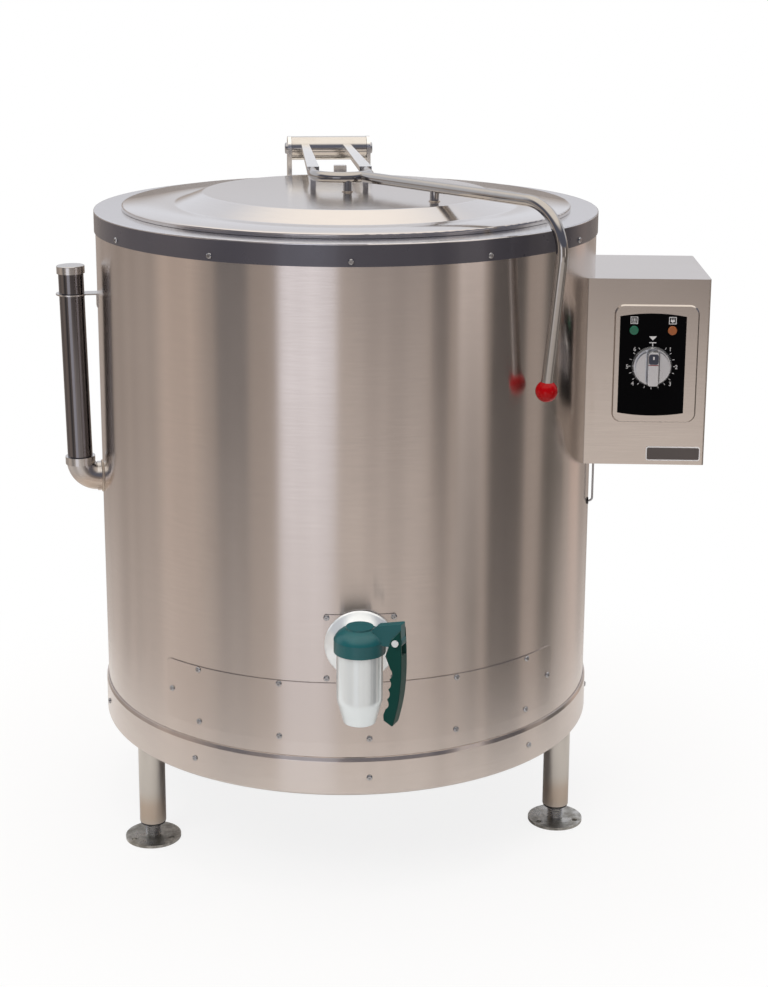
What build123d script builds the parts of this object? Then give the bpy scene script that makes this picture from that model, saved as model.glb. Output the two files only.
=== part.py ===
from build123d import *
from math import cos, radians, sin
import os

os.makedirs("parts", exist_ok=True)

# Electric oil-jacketed boiling pan of about 150 litres, in millimetres.
# The origin is on the floor, on the pan's upright axis. +Z is up, the draw-off tap
# looks to the front (-Y) and the control box hangs on the right (+X).
# The tap, the box and the filler pipe are each drawn on a centre line and then
# turned about the pan's axis to the place where they sit.

# Body
rim_radius = 365
rim_height = 900
deck_thickness = 2
band_height = 28
shell_radius = 363
shell_wall = 1.5
shell_foot = 190
skirt_radius = 366
skirt_foot = 143
skirt_top = 197
base_thickness = 3
sheet = 1.5

# Cooking pot, oil jacket and lagging
pot_radius = 300
pot_wall = 2.5
pot_floor = 343
pot_corner = 40
jacket_radius = 330
jacket_wall = 3
jacket_top = 800
jacket_floor = 236
lagging_thickness = 20
lagging_top = 880

# Lid and its hinge
lid_radius = 325
lid_lip_foot = rim_height + 0.4
lid_flange_height = 906.6
lid_crown_height = 922
lid_foot_radius = 249
lid_crown_radius = 209
lid_sheet = 2
hinge_back = 346
hinge_height = 949
barrel_radius = 19.05
barrel_bore = 16
barrel_length = 121
hinge_plate = 6
hinge_shaft_radius = 7
running_gap = 0.05

# Lid lever
arm_back_width = 12
arm_front_width = 18
arm_thickness = 8
arm_rise = 7
arm_shift = -6
arm_back_offset = 33
arm_front_offset = 39
arm_front = 55
lever_height = 943
lever_radius = 8
yoke_radius = 40
lever_angle = 36
lever_bend_reach = 441
lever_bend_radius = 65
lever_ball_reach = 411
lever_ball_height = 690
ball_radius = 15
prop_reach = 190
prop_radius = 6.5

# Draw-off tap
tap_turn = -2
tap_swing = -4
ear_turn = -22
tap_height = 361
tap_reach = 432
spout_radius = 30.5
spout_foot = 280
spout_top = 384
outlet_bore = 19
plug_radius = 24
cap_radius = 34
cap_foot = 378
cap_top = 412
ear_half = 7
grip_pin_out = 54
grip_pin_height = 400
grip_half = 11
grip_pin_radius = 3

# Access panel and tap plate
panel_width = 542
panel_height = 87
panel_middle = 262
tap_plate_width = 98
tap_plate_height = 94
tap_plate_middle = 355.5

# Control box
box_turn = -8
box_outer = 519
box_half = 106
box_foot = 545
box_top = 815
dial_out = 439.5
dial_height = 690
lamp_offset = 27
lamp_height = 742
pad_height = 2
fascia_thickness = 1
gland_out = 470
gland_back = 55

# Filler and expansion pipe
filler_turn = 5
filler_reach = 395
filler_height = 510
elbow_bend = 26
elbow_radius = 20
filler_radius = 18
filler_wall = 2
filler_lean = 1
filler_length = 284
filler_bracket_height = 781

# Legs and feet
leg_angles = {"left": -60, "right": 60, "rear": 180}
leg_circle = 344
leg_radius = 19.05
leg_bore = 17.05
leg_foot = 27
foot_radius = 40
foot_thickness = 4
foot_stem_radius = 10.5
foot_stem_top = 75
foot_hole_radius = 4
foot_hole_circle = 31

# Thermostat capillary, drawn with the control box
lead_radius = 1.5
lead_side = -60
lead_height = 476
lead_wall = (shell_radius ** 2 - lead_side ** 2) ** 0.5
lead_out = lead_wall + 7
lead_bend = 5
grommet_radius = 5
pocket_radius = 5
pocket_end = 302

# Screws
screw_radius = 2
screw_head_radius = 4.2
screw_head_height = 2.6
screw_length = 9
cover_radius = shell_radius + sheet


def save_piece(piece, name, turn=0):
    """Label a finished piece, turn it about the pan's axis and write it out."""
    solid = piece.part.rotate(Axis.Z, turn) if turn else piece.part
    solid.label = name
    export_step(solid, f"parts/{name}.step")


def outward(angle, radius, height):
    """Plane on an upright cylinder whose normal points away from the pan's axis."""
    direction = Vector(sin(radians(angle)), -cos(radians(angle)), 0)
    return Plane(origin=direction * radius + Vector(0, 0, height), x_dir=(0, 0, 1), z_dir=direction)


def ring(outer, inner, foot, top):
    """Add a plain upright ring to the part being built."""
    with BuildSketch(Plane.XY.offset(foot)) as section:
        Circle(outer)
        Circle(inner, mode=Mode.SUBTRACT)
    extrude(section.sketch, amount=top - foot)


def clear_cylinder(radius):
    """Take away everything inside an upright cylinder on the pan's axis."""
    Cylinder(radius, 2 * rim_height, mode=Mode.SUBTRACT)


def curved_cover(width, height, middle, corner):
    """Thin cover rolled to lie on the front of the shell."""
    face = Plane(origin=(0, -shell_radius / 2, middle), x_dir=(1, 0, 0), z_dir=(0, -1, 0))
    with BuildSketch(face) as outline:
        RectangleRounded(width, height, corner)
    extrude(outline.sketch, amount=shell_radius)
    Cylinder(shell_radius + sheet, 2 * rim_height, mode=Mode.INTERSECT)
    clear_cylinder(shell_radius)


def front_bore(radius, near, far, turn=0, height=tap_height, out=0):
    """Round hole that runs from front to back at the tap's height."""
    with Locations(Location((0, 0, 0), (0, 0, turn))):
        with Locations(Location((out, -(near + far) / 2, height), (90, 0, 0))):
            Cylinder(radius, far - near, mode=Mode.SUBTRACT)


def side_bore(radius, near, far, turn, height, side=0):
    """Round hole that runs from left to right; near and far are its ends along X."""
    with Locations(Location((0, 0, 0), (0, 0, turn))):
        with Locations(Location(((near + far) / 2, side, height), (0, 90, 0))):
            Cylinder(radius, abs(far - near), mode=Mode.SUBTRACT)


# Pan-head screw, drawn with its head's seat at the origin
with BuildPart() as screw:
    with BuildSketch(Plane.XZ):
        with BuildLine():
            Polyline((0, screw_head_height), (0, -screw_length), (screw_radius, -screw_length),
                     (screw_radius, 0), (screw_head_radius, 0), (screw_head_radius, 0.9),
                     (0.8 * screw_head_radius, 2), (0.5 * screw_head_radius, screw_head_height), close=True)
        make_face()
    revolve(axis=Axis.Z)


def screw_group(planes):
    """One node of loose screws, one on each plane."""
    with BuildPart() as group:
        with Locations(*planes):
            add(screw.part)
    return group


# ---- Pot, jacket and lagging

with BuildPart() as inner_pot:
    with BuildSketch(Plane.XZ):
        with BuildLine():
            Polyline((0, pot_floor), (0, pot_floor - pot_wall),
                     (pot_radius - pot_corner, pot_floor - pot_wall))
            outer_corner = pot_corner + pot_wall
            RadiusArc((pot_radius - pot_corner, pot_floor - pot_wall),
                      (pot_radius + pot_wall, pot_floor + pot_corner), -outer_corner)
            Polyline((pot_radius + pot_wall, pot_floor + pot_corner),
                     (pot_radius + pot_wall, rim_height - deck_thickness - pot_wall),
                     (pot_radius + 20, rim_height - deck_thickness - pot_wall),
                     (pot_radius + 20, rim_height - deck_thickness),
                     (pot_radius, rim_height - deck_thickness),
                     (pot_radius, pot_floor + pot_corner))
            RadiusArc((pot_radius, pot_floor + pot_corner),
                      (pot_radius - pot_corner, pot_floor), pot_corner)
            Line((pot_radius - pot_corner, pot_floor), (0, pot_floor))
        make_face()
    revolve(axis=Axis.Z)
    front_bore(outlet_bore, pot_radius - 60, pot_radius + 20, tap_turn)
save_piece(inner_pot, "inner_pot")

with BuildPart() as oil_jacket:
    with BuildSketch(Plane.XZ):
        with BuildLine():
            FilletPolyline((0, jacket_floor), (jacket_radius, jacket_floor),
                           (jacket_radius, jacket_top), radius=12)
            FilletPolyline((0, jacket_floor + jacket_wall),
                           (jacket_radius - jacket_wall, jacket_floor + jacket_wall),
                           (jacket_radius - jacket_wall, jacket_top - jacket_wall), radius=9)
            Line((0, jacket_floor), (0, jacket_floor + jacket_wall))
            Polyline((jacket_radius - jacket_wall, jacket_top - jacket_wall),
                     (pot_radius + pot_wall, jacket_top - jacket_wall),
                     (pot_radius + pot_wall, jacket_top), (jacket_radius, jacket_top))
        make_face()
    revolve(axis=Axis.Z)
    front_bore(outlet_bore + 2, pot_radius + 10, jacket_radius + 10, tap_turn)
    side_bore(filler_radius, -jacket_radius - 10, -pot_radius - 10, filler_turn, filler_height)
    side_bore(pocket_radius, pot_radius + 10, jacket_radius + 10, box_turn, lead_height, lead_side)
    element_height = 280
    element_offset = 100
    for across in (-element_offset, 0, element_offset):
        front_bore(22, pot_radius - 60, jacket_radius + 10, height=element_height, out=across)
save_piece(oil_jacket, "oil_jacket")

lagging_outer = jacket_radius + lagging_thickness
with BuildPart() as insulation_blanket:
    ring(lagging_outer, jacket_radius, jacket_floor + 12, lagging_top)
    front_bore(outlet_bore + 2, jacket_radius - 20, lagging_outer + 20, tap_turn)
    side_bore(filler_radius, -lagging_outer - 20, -jacket_radius + 20, filler_turn, filler_height)
    side_bore(pocket_radius, jacket_radius - 30, lagging_outer + 20, box_turn, lead_height, lead_side)
    with Locations((0, -shell_radius, panel_middle - 20)):
        Box(panel_width - 40, 300, panel_height + 60, mode=Mode.SUBTRACT)
save_piece(insulation_blanket, "insulation_blanket")

with BuildPart() as jacket_stand:
    ring(220, 214, shell_foot, jacket_floor)
save_piece(jacket_stand, "jacket_stand")

# ---- Immersion heaters in the oil space under the pot

element_radius = 4.25
element_gap = 30
element_back = 190
with BuildPart() as heating_elements:
    for across in (-element_offset, 0, element_offset):
        with BuildLine() as hairpin:
            Polyline((across - element_gap / 2, -340, element_height),
                     (across - element_gap / 2, element_back, element_height))
            ThreePointArc((across - element_gap / 2, element_back, element_height),
                          (across, element_back + element_gap / 2, element_height),
                          (across + element_gap / 2, element_back, element_height))
            Line((across + element_gap / 2, element_back, element_height),
                 (across + element_gap / 2, -340, element_height))
        with BuildSketch(Plane(origin=(across - element_gap / 2, -340, element_height), z_dir=(0, 1, 0))):
            Circle(element_radius)
        sweep(path=hairpin.line)
save_piece(heating_elements, "heating_elements")

with BuildPart() as element_heads:
    for across in (-element_offset, 0, element_offset):
        with BuildSketch(Plane(origin=(across, -280, element_height), x_dir=(1, 0, 0), z_dir=(0, -1, 0))):
            Circle(22)
            with Locations((-element_gap / 2, 0), (element_gap / 2, 0)):
                Circle(element_radius, mode=Mode.SUBTRACT)
        extrude(amount=52)
        with BuildSketch(Plane(origin=(across, -332, element_height), x_dir=(1, 0, 0), z_dir=(0, -1, 0))):
            RegularPolygon(27, 6)
            with Locations((-element_gap / 2, 0), (element_gap / 2, 0)):
                Circle(element_radius, mode=Mode.SUBTRACT)
        extrude(amount=7)
save_piece(element_heads, "element_heads")

# ---- Casing

with BuildPart() as outer_shell:
    ring(shell_radius, shell_radius - shell_wall, shell_foot, rim_height - deck_thickness)
    front_bore(outlet_bore + 2.5, shell_radius - 30, shell_radius + 20, tap_turn)
    side_bore(filler_radius, -shell_radius - 20, -shell_radius + 30, filler_turn, filler_height)
    side_bore(grommet_radius, shell_radius - 30, shell_radius + 20, box_turn, lead_height, lead_side)
    with Locations((0, -shell_radius, panel_middle)):
        Box(panel_width - 60, 300, panel_height - 24, mode=Mode.SUBTRACT)
save_piece(outer_shell, "outer_shell")

with BuildPart() as rim_deck:
    ring(rim_radius, pot_radius, rim_height - deck_thickness, rim_height)
    fillet(rim_deck.edges().group_by(Axis.Z)[-1].filter_by(lambda e: e.radius > pot_radius + 1), 1.2)
save_piece(rim_deck, "rim_deck")

band_foot = rim_height - deck_thickness - band_height
with BuildPart() as rim_band:
    ring(rim_radius, shell_radius, band_foot, rim_height - deck_thickness)
save_piece(rim_band, "rim_band")

rim_screw_turn = -4
rim_screw_height = band_foot + 7
rim_planes = [outward(rim_screw_turn + 30 * i, rim_radius, rim_screw_height) for i in range(12)]
rim_band_screws = screw_group(rim_planes)
save_piece(rim_band_screws, "rim_band_screws")

with BuildPart() as skirt_ring:
    with BuildSketch(Plane.XZ):
        with BuildLine():
            skirt_line = FilletPolyline((skirt_radius - 3.2, skirt_foot + 0.75),
                                        (skirt_radius - 0.75, skirt_foot + 0.75),
                                        (skirt_radius - 0.75, skirt_top - 5),
                                        (shell_radius + 0.8, skirt_top), radius=2.2)
            offset(skirt_line, amount=0.75, side=Side.BOTH, closed=True)
        make_face()
    revolve(axis=Axis.Z)
save_piece(skirt_ring, "skirt_ring")

skirt_screw_height = 169
skirt_planes = [outward(40 * i, skirt_radius, skirt_screw_height) for i in range(9)]
skirt_screws = screw_group(skirt_planes)
save_piece(skirt_screws, "skirt_screws")

base_flange_radius = skirt_radius - sheet - 0.1
with BuildPart() as base_plate:
    with BuildSketch(Plane.XY.offset(shell_foot - base_thickness)):
        Circle(base_flange_radius)
    extrude(amount=base_thickness)
    ring(base_flange_radius, base_flange_radius - 1.3, 152, shell_foot - base_thickness)
save_piece(base_plate, "base_plate")

with BuildPart() as access_panel:
    curved_cover(panel_width, panel_height, panel_middle, 6)
save_piece(access_panel, "access_panel")

# ---- Hinge on the deck

hinge_half = barrel_length / 2 + 0.5
hinge_outer = hinge_half + hinge_plate
with BuildPart() as hinge_bracket:
    with Locations((0, hinge_back, rim_height)):
        Box(2 * hinge_outer, 2 * barrel_radius - 6, 4, align=(Align.CENTER, Align.CENTER, Align.MIN))
    for start in (hinge_half, -hinge_outer):
        with BuildSketch(Plane.YZ.offset(start)):
            with Locations((hinge_back, hinge_height)):
                Circle(barrel_radius + 0.5)
            with Locations((hinge_back, (rim_height + hinge_height) / 2)):
                Rectangle(2 * barrel_radius + 1, hinge_height - rim_height)
            with Locations((hinge_back, hinge_height)):
                Circle(hinge_shaft_radius, mode=Mode.SUBTRACT)
        extrude(amount=hinge_plate)
    with Locations((18, hinge_back - 4.3, rim_height + 4)):
        Box(20, 13.7, 18, align=(Align.CENTER, Align.MAX, Align.MIN))
save_piece(hinge_bracket, "hinge_bracket")

with BuildPart() as hinge_shaft:
    with BuildSketch(Plane.YZ.offset(-hinge_outer)):
        with Locations((hinge_back, hinge_height)):
            Circle(hinge_shaft_radius)
    extrude(amount=2 * hinge_outer)
    for start, depth in ((hinge_outer, 4), (-hinge_outer - 4, 4)):
        with BuildSketch(Plane.YZ.offset(start)):
            with Locations((hinge_back, hinge_height)):
                Circle(9)
        extrude(amount=depth)
    chamfer(hinge_shaft.faces().sort_by(Axis.X)[0].edges(), 1.2)
    chamfer(hinge_shaft.faces().sort_by(Axis.X)[-1].edges(), 1.2)
save_piece(hinge_shaft, "hinge_shaft")

# ---- Lid, hinge barrel and lever

with BuildPart() as lid:
    with BuildSketch(Plane.XZ):
        with BuildLine():
            FilletPolyline((0, lid_crown_height), (lid_crown_radius, lid_crown_height),
                           (lid_foot_radius, lid_flange_height), (lid_radius, lid_flange_height),
                           (lid_radius, lid_lip_foot), radius=[6, 8, 2.5])
            FilletPolyline((0, lid_crown_height - lid_sheet),
                           (lid_crown_radius - 0.4, lid_crown_height - lid_sheet),
                           (lid_foot_radius - 0.4, lid_flange_height - lid_sheet),
                           (lid_radius - lid_sheet, lid_flange_height - lid_sheet),
                           (lid_radius - lid_sheet, lid_lip_foot), radius=[6, 8, 0.5])
            Line((0, lid_crown_height), (0, lid_crown_height - lid_sheet))
            Line((lid_radius, lid_lip_foot), (lid_radius - lid_sheet, lid_lip_foot))
        make_face()
    revolve(axis=Axis.Z)
save_piece(lid, "lid")

barrel_plane = Plane.YZ.offset(-barrel_length / 2)
with BuildPart() as hinge_barrel:
    with BuildSketch(barrel_plane):
        with Locations((hinge_back, hinge_height)):
            Circle(barrel_radius)
            Circle(barrel_bore, mode=Mode.SUBTRACT)
    extrude(amount=barrel_length)
    with Locations((0, hinge_back + barrel_radius + 3, hinge_height)):
        Box(18, 16, 8)
    with BuildSketch(barrel_plane):
        with Locations((hinge_back, hinge_height)):
            Circle(barrel_bore)
    extrude(amount=barrel_length, mode=Mode.SUBTRACT)
save_piece(hinge_barrel, "hinge_barrel")

bush_length = 14
with BuildPart() as hinge_bushes:
    for start in (-barrel_length / 2, barrel_length / 2 - bush_length):
        with BuildSketch(Plane.YZ.offset(start)):
            with Locations((hinge_back, hinge_height)):
                Circle(barrel_bore)
                Circle(hinge_shaft_radius + running_gap, mode=Mode.SUBTRACT)
        extrude(amount=bush_length)
save_piece(hinge_bushes, "hinge_bushes")

spring_wire = 2
spring_radius = 11.5
spring_pitch = 18
spring_length = barrel_length - 2 * bush_length - 2 * spring_wire
with BuildPart() as hinge_spring:
    with BuildLine():
        coil = Helix(spring_pitch, spring_length, spring_radius,
                     center=(-spring_length / 2, hinge_back, hinge_height), direction=(1, 0, 0))
    with BuildSketch(Plane(origin=coil @ 0, z_dir=coil % 0)):
        Circle(spring_wire)
    sweep(path=coil, is_frenet=True)
save_piece(hinge_spring, "hinge_spring")

# The arms taper and climb towards the barrel, each with a foot welded to the lid
arm_run = hinge_back - arm_front
arm_plane = Plane(origin=(arm_shift, arm_front, lever_height), x_dir=(1, 0, 0), z_dir=(0, -arm_rise, arm_run))
arm_nose = arm_front - arm_thickness * arm_rise / arm_run
gusset_back = 150
with BuildPart() as lid_arms:
    for side in (-1, 1):
        front, back = side * arm_front_offset, side * arm_back_offset
        with BuildSketch(arm_plane) as bar:
            with BuildLine():
                Polyline((front - arm_front_width / 2, 0), (front + arm_front_width / 2, 0),
                         (back + arm_back_width / 2, arm_run), (back - arm_back_width / 2, arm_run), close=True)
            make_face()
        extrude(bar.sketch, amount=arm_thickness)
        with BuildSketch(Plane.YZ.offset(arm_shift + front - arm_thickness / 2)) as gusset:
            with BuildLine():
                Polyline((arm_nose, lid_crown_height), (arm_front + 30, lid_crown_height),
                         (gusset_back, lever_height + 3), (arm_nose, lever_height + 1), close=True)
            make_face()
        extrude(gusset.sketch, amount=arm_thickness)
    with Locations(Location((0, hinge_back, hinge_height), (0, 90, 0))):
        Cylinder(barrel_radius, 3 * barrel_length, mode=Mode.SUBTRACT)
save_piece(lid_arms, "lid_arms")

yoke_back = arm_front - 31
with BuildPart() as lid_yoke:
    with BuildLine(Plane.XY.offset(lever_height)) as yoke_line:
        Line((arm_shift - yoke_radius, arm_nose), (arm_shift - yoke_radius, yoke_back))
        ThreePointArc((arm_shift - yoke_radius, yoke_back), (arm_shift, yoke_back - yoke_radius),
                      (arm_shift + yoke_radius, yoke_back))
        Line((arm_shift + yoke_radius, yoke_back), (arm_shift + yoke_radius, arm_nose))
    with BuildSketch(Plane(origin=(arm_shift - yoke_radius, arm_nose, lever_height), z_dir=(0, -1, 0))):
        Circle(lever_radius)
    sweep(path=yoke_line.line)
save_piece(lid_yoke, "lid_yoke")

lever_direction = Vector(sin(radians(lever_angle)), -cos(radians(lever_angle)), 0)
lever_plane = Plane(origin=(0, yoke_back, 0), x_dir=lever_direction,
                    z_dir=lever_direction.cross(Vector(0, 0, 1)))
ball_depth = 9
with BuildPart() as handle_rod:
    with BuildLine(lever_plane) as lever_line:
        FilletPolyline((yoke_radius + arm_shift * sin(radians(lever_angle)), lever_height), (lever_bend_reach, lever_height - 2),
                       (lever_ball_reach, lever_ball_height + ball_radius - ball_depth),
                       radius=lever_bend_radius)
    with BuildSketch(Plane(origin=lever_line.line @ 0, z_dir=lever_line.line % 0)):
        Circle(lever_radius)
    sweep(path=lever_line.line)
    add(lid_yoke.part, mode=Mode.SUBTRACT)
save_piece(handle_rod, "handle_rod")

with BuildPart() as handle_ball:
    with Locations(lever_plane.from_local_coords(Vector(lever_ball_reach, lever_ball_height, 0))):
        Sphere(ball_radius)
    add(handle_rod.part, mode=Mode.SUBTRACT)
save_piece(handle_ball, "handle_ball")

with BuildPart() as handle_posts:
    yoke_front = Vector(0, yoke_back - yoke_radius)
    prop_place = Vector(0, yoke_back) + lever_direction * prop_reach
    with BuildSketch(Plane.XY.offset(lid_crown_height)):
        with Locations(yoke_front, prop_place):
            Circle(prop_radius)
    extrude(amount=lever_height - lid_crown_height)
    add(lid_yoke.part, mode=Mode.SUBTRACT)
    add(handle_rod.part, mode=Mode.SUBTRACT)
save_piece(handle_posts, "handle_posts")

# ---- Draw-off tap, drawn on the front centre line with its ear to the right

pipe_end = cover_radius + 2
seat = Vector(0, -pipe_end, tap_height)
swing_direction = Vector(sin(radians(tap_swing)), -cos(radians(tap_swing)), 0)
tap_axis = Axis(seat, swing_direction)
tap_plane = Plane(origin=seat, x_dir=swing_direction, z_dir=swing_direction.cross(Vector(0, 0, 1)))
spout_plane = Plane(origin=(0, -tap_reach, 0), x_dir=(1, 0, 0), z_dir=(0, -1, 0))
spout_axis = Axis((0, -tap_reach, 0), (0, 0, 1))


def save_tap_piece(piece, name, ear=0):
    """Turn a piece round the spout, swing it on its seat, then set it on the pan."""
    solid = piece.part.rotate(spout_axis, ear).rotate(Axis(seat, (0, 0, 1)), tap_swing).rotate(Axis.Z, tap_turn)
    solid.label = name
    export_step(solid, f"parts/{name}.step")


with BuildPart() as tap_plate:
    curved_cover(tap_plate_width, tap_plate_height, tap_plate_middle, 3)
    front_bore(outlet_bore + 2, shell_radius - 30, shell_radius + 20)
save_piece(tap_plate, "tap_plate", tap_turn)

# Screws of the access panel and the tap plate
screw_pitch = 19.4
screw_planes = [outward(angle, cover_radius, panel_middle + 39)
                for angle in (-2 * screw_pitch, -screw_pitch, screw_pitch, 2 * screw_pitch)]
screw_planes += [outward(angle, cover_radius, panel_middle) for angle in (-2.4 * screw_pitch, 2.4 * screw_pitch)]
screw_planes += [outward(screw_pitch * i, cover_radius, panel_middle - 37) for i in range(-2, 3)]
tap_screw_angle = 7.1
screw_planes += [outward(tap_turn + side * tap_screw_angle, cover_radius, tap_plate_middle + rise)
                 for side in (-1, 1) for rise in (-43, 43)]
cover_screws = screw_group(screw_planes)
save_piece(cover_screws, "cover_screws")

with BuildPart() as outlet_pipe:
    with BuildSketch(Plane(origin=(0, -pot_radius + 20, tap_height), x_dir=(1, 0, 0), z_dir=(0, -1, 0))):
        Circle(outlet_bore + 2)
        Circle(outlet_bore, mode=Mode.SUBTRACT)
    extrude(amount=pipe_end - pot_radius + 20)
    clear_cylinder(pot_radius + pot_wall)
save_piece(outlet_pipe, "outlet_pipe", tap_turn)

neck_radius = 22
rosette_radius = 48
with BuildPart() as tap_rosette:
    with BuildSketch(tap_plane):
        with BuildLine():
            Polyline((-10, neck_radius + 0.2), (-10, rosette_radius - 1), (0, rosette_radius),
                     (2, rosette_radius - 1.5))
            RadiusArc((2, rosette_radius - 1.5), (17.5, neck_radius + 7), -70)
            Polyline((17.5, neck_radius + 7), (17.5, neck_radius + 0.2), (-10, neck_radius + 0.2))
        make_face()
    revolve(axis=tap_axis)
    clear_cylinder(cover_radius)
save_piece(tap_rosette, "tap_rosette", tap_turn)

chamber_floor = 334
port_radius = 13
neck_start = pipe_end + 1.6
with BuildPart() as tap_body:
    with BuildSketch(spout_plane):
        with BuildLine():
            FilletPolyline((outlet_bore, spout_foot), (21.5, spout_foot), (spout_radius, 312),
                           (spout_radius, spout_top), radius=[2, 30])
            Polyline((spout_radius, spout_top), (plug_radius, spout_top), (plug_radius, chamber_floor),
                     (outlet_bore, chamber_floor), (outlet_bore, spout_foot))
        make_face()
    revolve(axis=spout_axis)
    with BuildSketch(Plane(origin=(0, -neck_start, tap_height), x_dir=(1, 0, 0), z_dir=(0, -1, 0))):
        Circle(neck_radius)
    extrude(amount=tap_reach - neck_start - plug_radius + 1)
    with BuildSketch(Plane(origin=(0, -tap_reach + spout_radius + 12, tap_height), x_dir=(1, 0, 0),
                           z_dir=(0, -1, 0))):
        RegularPolygon(29, 8)
    extrude(amount=8)
    with Locations((0, -tap_reach, (chamber_floor + spout_top) / 2)):
        Cylinder(plug_radius, spout_top - chamber_floor, mode=Mode.SUBTRACT)
    front_bore(port_radius, pipe_end - 5, tap_reach)
    with BuildSketch(Plane.XY.offset(cap_foot - 0.4)):
        with Locations((0, -tap_reach)):
            Circle(cap_radius + 0.6)
            Circle(spout_radius, mode=Mode.SUBTRACT)
    extrude(amount=20, mode=Mode.SUBTRACT)
save_tap_piece(tap_body, "tap_body")

with BuildPart() as tap_plug:
    with Locations((0, -tap_reach, chamber_floor + 0.2)):
        Cylinder(plug_radius - running_gap, spout_top - chamber_floor - 0.4,
                 align=(Align.CENTER, Align.CENTER, Align.MIN))
        Cylinder(9, cap_top - 8 - chamber_floor, align=(Align.CENTER, Align.CENTER, Align.MIN))
        Cylinder(port_radius, tap_height + port_radius - chamber_floor,
                 align=(Align.CENTER, Align.CENTER, Align.MIN), mode=Mode.SUBTRACT)
    with Locations(Location((-plug_radius / 2, -tap_reach, tap_height), (0, 90, 0))):
        Cylinder(port_radius - 1, plug_radius + 4, mode=Mode.SUBTRACT)
save_tap_piece(tap_plug, "tap_plug", ear_turn)

with BuildPart() as tap_cap:
    with BuildSketch(spout_plane):
        with BuildLine():
            Polyline((9, cap_top), (18, cap_top), (18, cap_top - 2.5))
            RadiusArc((18, cap_top - 2.5), (cap_radius, cap_foot + 17), 24)
            Polyline((cap_radius, cap_foot + 17), (cap_radius, cap_foot), (spout_radius + 0.6, cap_foot),
                     (spout_radius + 0.6, spout_top + 1), (9, spout_top + 1), (9, cap_top))
        make_face()
    revolve(axis=spout_axis)
    with Locations((0, -tap_reach, cap_top - 3)):
        Cylinder(9, 3, align=(Align.CENTER, Align.CENTER, Align.MIN))
    with BuildSketch(Plane(origin=(0, -tap_reach + ear_half, 0), x_dir=(1, 0, 0), z_dir=(0, -1, 0))) as ear:
        with BuildLine():
            Polyline((20, grip_pin_height - 8), (20, cap_top), (26, cap_top + 5.5),
                     (grip_pin_out + 6, cap_top + 13), (grip_pin_out + 6, grip_pin_height),
                     (grip_pin_out, grip_pin_height - 8), close=True)
        make_face()
        fillet(ear.vertices().sort_by(Axis.X)[-2:], 1.5)
        with Locations((grip_pin_out, grip_pin_height)):
            Circle(8)
            Circle(grip_pin_radius, mode=Mode.SUBTRACT)
    extrude(ear.sketch, amount=2 * ear_half)
save_tap_piece(tap_cap, "tap_cap", ear_turn)

with BuildPart() as grip_pin:
    with Locations(Location((grip_pin_out, -tap_reach, grip_pin_height), (90, 0, 0))):
        Cylinder(grip_pin_radius, 2 * grip_half + 1)
    for side in (-1, 1):
        with Locations(Location((grip_pin_out, -tap_reach + side * (grip_half + 1.6), grip_pin_height), (90, 0, 0))):
            Cylinder(4.5, 2.2)
save_tap_piece(grip_pin, "grip_pin", ear_turn)

finger_top = 363
finger_pitch = 14
finger_count = 4
finger_edge = 46.5
finger_depth = 2.6
finger_lean = 1.6
fork_reach = 20
with BuildPart() as tap_grip:
    with BuildSketch(Plane(origin=(0, -tap_reach + grip_half, 0), x_dir=(1, 0, 0), z_dir=(0, -1, 0))) as outline:
        with BuildLine():
            Polyline((61, 400), (60, 417), (47, 402), (39.5, 380), (finger_edge, finger_top))
            for finger in range(finger_count):
                top = finger_top - finger * finger_pitch
                edge = finger_edge - finger * finger_lean
                ThreePointArc((edge, top), (edge + finger_depth, top - finger_pitch / 2),
                              (edge - finger_lean, top - finger_pitch))
            Polyline((finger_edge - finger_count * finger_lean, finger_top - finger_count * finger_pitch),
                     (37, 299), (37.5, 291), (50, 284))
            Spline((50, 284), (58, 317), (61.8, 360), (61, 400), tangents=((0.3, 1), (-0.05, 1)))
        make_face()
        fillet(outline.vertices().filter_by(lambda corner: corner.X < 59), 1.5)
    extrude(outline.sketch, amount=2 * grip_half)
    fillet(tap_grip.faces().filter_by(Axis.Y).edges(), 2)
    with Locations(Location((grip_pin_out, -tap_reach, grip_pin_height), (90, 0, 0))):
        Cylinder(fork_reach, 2 * ear_half + 0.8, mode=Mode.SUBTRACT)
        Cylinder(grip_pin_radius + running_gap, 3 * grip_half, mode=Mode.SUBTRACT)
save_tap_piece(tap_grip, "tap_grip", ear_turn)

# ---- Control box, drawn on the right-hand centre line

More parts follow.
